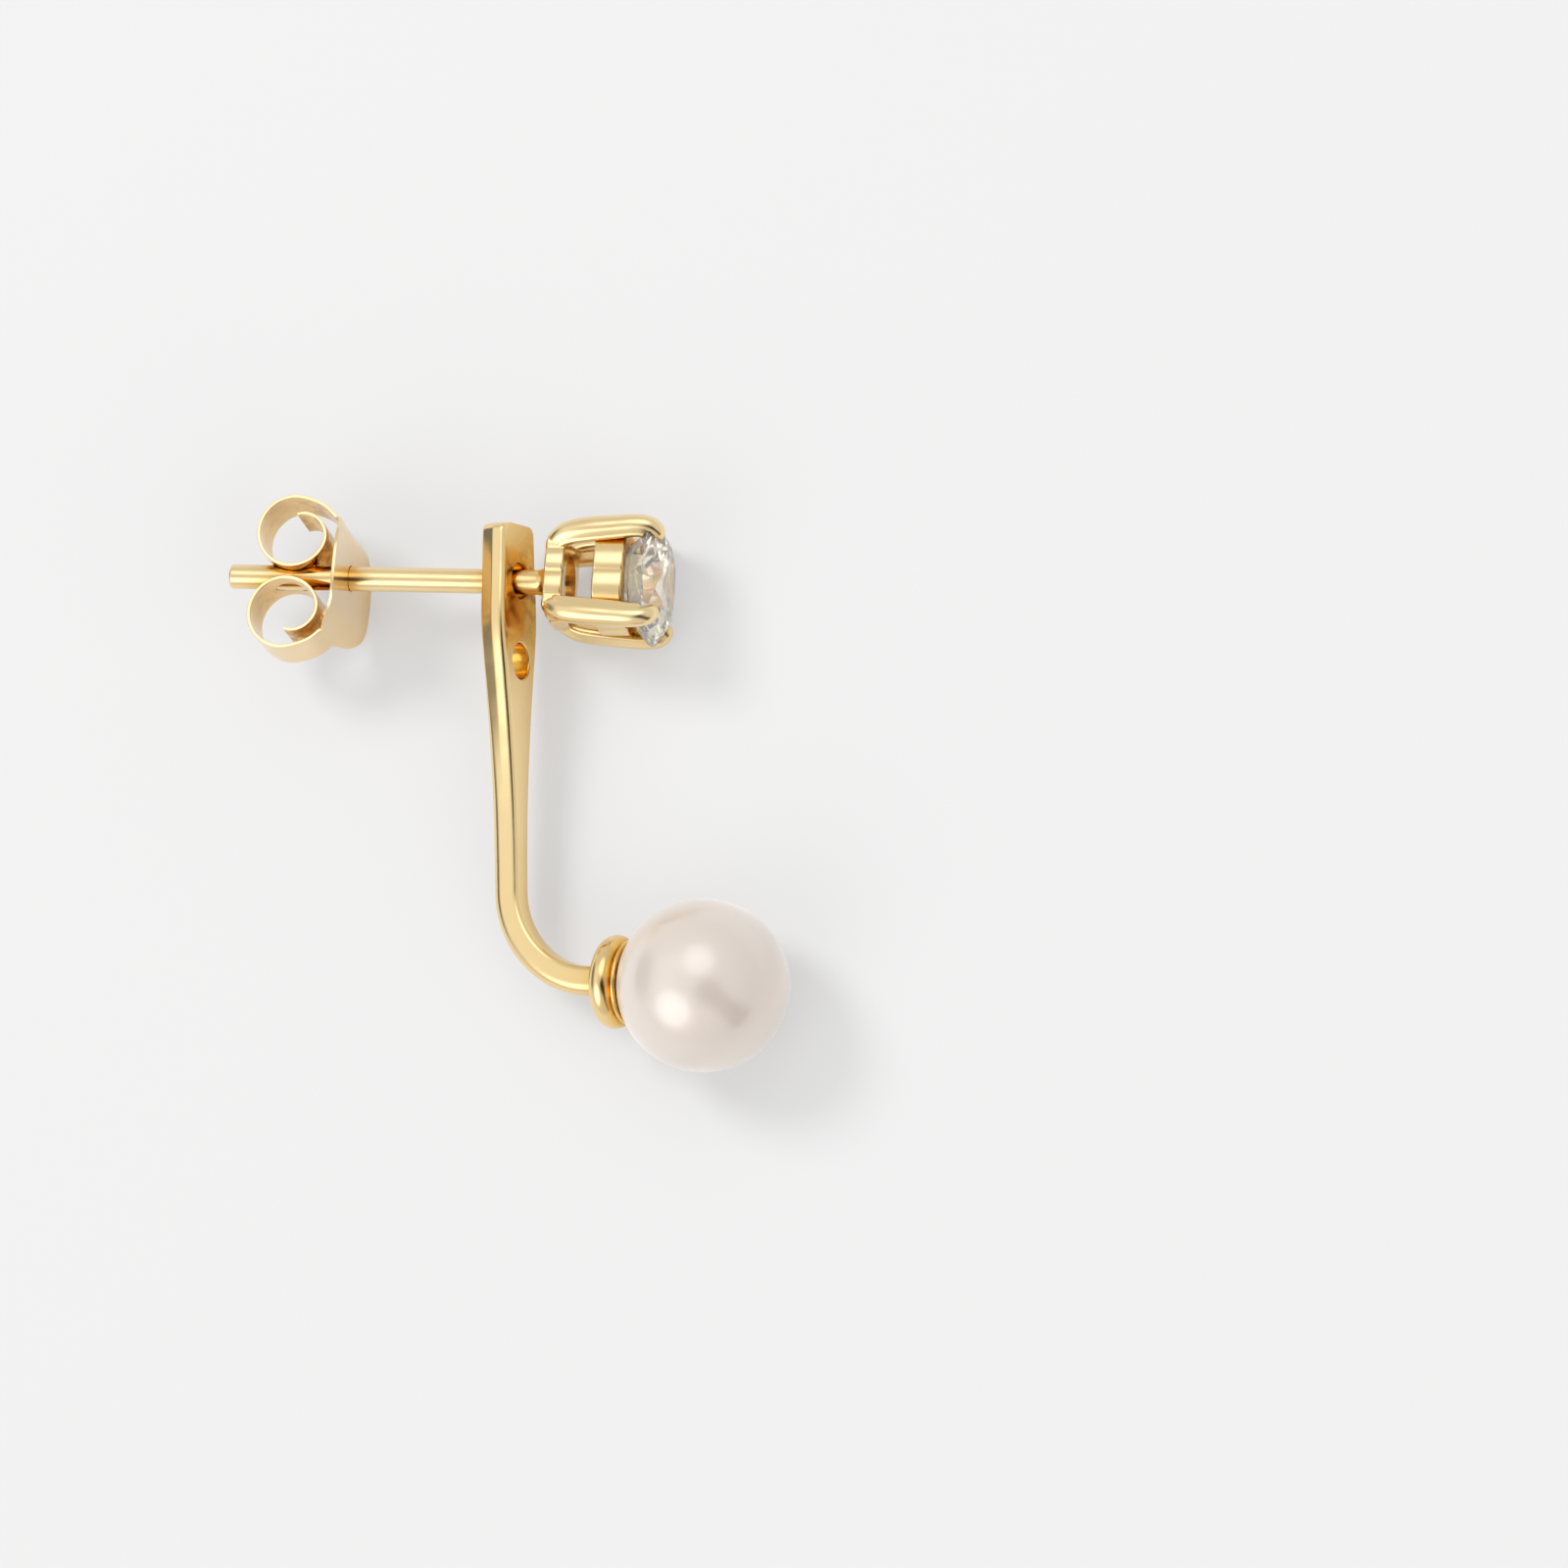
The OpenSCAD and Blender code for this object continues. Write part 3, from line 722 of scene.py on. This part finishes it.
def make_clutch():
    line = sheet_line()
    lengths = [0.0]
    for a, b in zip(line, line[1:]):
        lengths.append(lengths[-1] + (b - a).length)
    on_plate = [i for i, p in enumerate(line) if p.x >= -CLUTCH_BACK - ON_PLATE]
    middle = min(on_plate, key=lambda i: abs(line[i].y))
    rings = []
    for i, p in enumerate(line):
        before, after = line[max(i - 1, 0)], line[min(i + 1, len(line) - 1)]
        way = (after - before).normalized()
        inward = Vector((-way.y, way.x))
        s = abs(lengths[i] - lengths[middle] - PLATE_SAG)
        ring = []
        for across, deep in sheet_section(sheet_half_width(s)):
            dish = PLATE_DISH * (abs(across) / (PLATE_W / 2)) ** 2 if s < DISH_REACH else 0
            q = p + inward * (deep + dish)
            ring.append(Vector((q.x, across, q.y)))
        rings.append(ring)
    clutch = form_object("clutch_form", join_rings(rings))
    way_through = [(-CLUTCH_BACK + x, POST_R + FINE_GAP) for x in THROUGH]
    cut(clutch, form_object("way", lathe(way_through, steps=64)))
    smooth_off(clutch, 40)
    clutch.data.transform(lay_stud)
    clutch_gold = gold("clutch_gold", (0.95, 0.73, 0.44, 1), (0.92, 0.67, 0.36, 1),
                       rough=0.15, reach=2.2, open_at=0.80)
    dress(clutch, clutch_gold, "clutch", "clutch")


def dress_stone():
    stone = nodes["stone"]
    paint(stone, clear_stone())
    shade(stone, False)


# The floor and the light

FLOOR_HALF = 1.5
# The floor's own colour, and a glow that lifts its shadows as a white studio does
FLOOR_GREY, FLOOR_GLOW = 0.31, 0.408
LAMP_DISTANCE = 0.6

# The studio round the earring: a pale room, and in it bright soft boxes and dark gaps, each a
# direction, a radius and a softness in degrees, and how bright or how dark it is
ROOM = 0.74
SOFT_BOXES = [((0.05, 0.466, 0.893), 18, 9, 1.0), ((-0.466, -0.59, 0.655), 21, 8, 1.45),
              ((-0.66, 0.12, 0.74), 22, 8, 0.22)]
CAMERA_WAY, RIGHT_WAY = Vector((0.255, -0.185, 0.95)), Vector((0.78, -0.62, 0.0))
GAPS = [((-0.975, 0.15, 0.16), 20, 8, 0.72), (CAMERA_WAY + 0.14 * RIGHT_WAY, 14, 11, 0.62)]
# A dark warm band low on the right: where it ends across and along, its depth and its cast
BAND_EDGES, BAND_ENDS, BAND_DARK = (6, 19), (0.10, 0.22), 0.88
BAND_CAST = (1.0, 0.72, 0.70, 1)


def make_floor():
    half = FLOOR_HALF
    mesh = bpy.data.meshes.new("floor")
    mesh.from_pydata([(-half, -half, 0), (half, -half, 0), (half, half, 0), (-half, half, 0)],
                     [], [(0, 1, 2, 3)])
    floor = add_object("floor", mesh)
    white = surface("floor_white")
    white.set(Base_Color=(FLOOR_GREY, FLOOR_GREY, FLOOR_GREY, 1), Roughness=0.9,
              Emission_Color=(1, 1, 1, 1), Emission_Strength=FLOOR_GLOW)
    paint(floor, white.owner)


def soft_light(name, toward, size, radiance):
    """A round soft light in a direction from the earring, as bright as radiance says."""
    data = bpy.data.lights.new(name, "AREA")
    data.shape = "DISK"
    data.size = size
    data.energy = radiance * pi * pi * (size / 2) ** 2
    light = add_object(name, data)
    way = Vector(toward).normalized()
    light.location = way * LAMP_DISTANCE
    light.rotation_euler = way.to_track_quat("Z", "Y").to_euler()
    light.visible_glossy = False


def make_world():
    """A pale studio: soft boxes as bright lobes, and dark gaps where the room shows."""
    w = Nodes(bpy.data.worlds.new("studio"), "Background")
    way = w.add("TexCoord").outputs["Generated"]

    def dot(direction):
        return w.add("VectorMath", {0: way, 1: Vector(direction).normalized()},
                     operation="DOT_PRODUCT").outputs["Value"]

    def soft_step(value, low, high, to_low=0, to_high=1):
        return w.range(value, low, high, to_low, to_high, interpolation_type="SMOOTHSTEP")

    def lobe(direction, radius, soft, height):
        inside = soft_step(dot(direction), cos(radians(radius + soft)), cos(radians(radius - soft)))
        return w.math("MULTIPLY", inside, height)

    def darken(light, part):
        return w.math("MULTIPLY", light, w.math("SUBTRACT", 1.0, part))

    light = ROOM
    for box in SOFT_BOXES:
        light = w.math("ADD", lobe(*box), light)
    for gap in GAPS:
        light = darken(light, lobe(*gap))
    low, high = (sin(radians(a)) for a in BAND_EDGES)
    across = w.math("ABSOLUTE", dot(CAMERA_WAY.cross(RIGHT_WAY)))
    band = w.math("MULTIPLY", soft_step(across, low, high, 1, 0),
                  soft_step(dot(RIGHT_WAY), *BAND_ENDS))
    light = darken(light, w.math("MULTIPLY", band, BAND_DARK))
    w.set(Strength=light, Color=w.blend(band, (1, 1, 1, 1), BAND_CAST))
    bpy.context.scene.world = w.owner


make_camera()
make_jacket()
make_pearl()
make_setting()
make_clutch()
dress_stone()
make_floor()
make_world()
soft_light("key", (-0.50, 0.38, 0.80), 0.22, 18.0)
soft_light("fill", (0.70, -0.50, 0.45), 0.6, 1.9)
bpy.context.scene.view_settings.view_transform = "Standard"
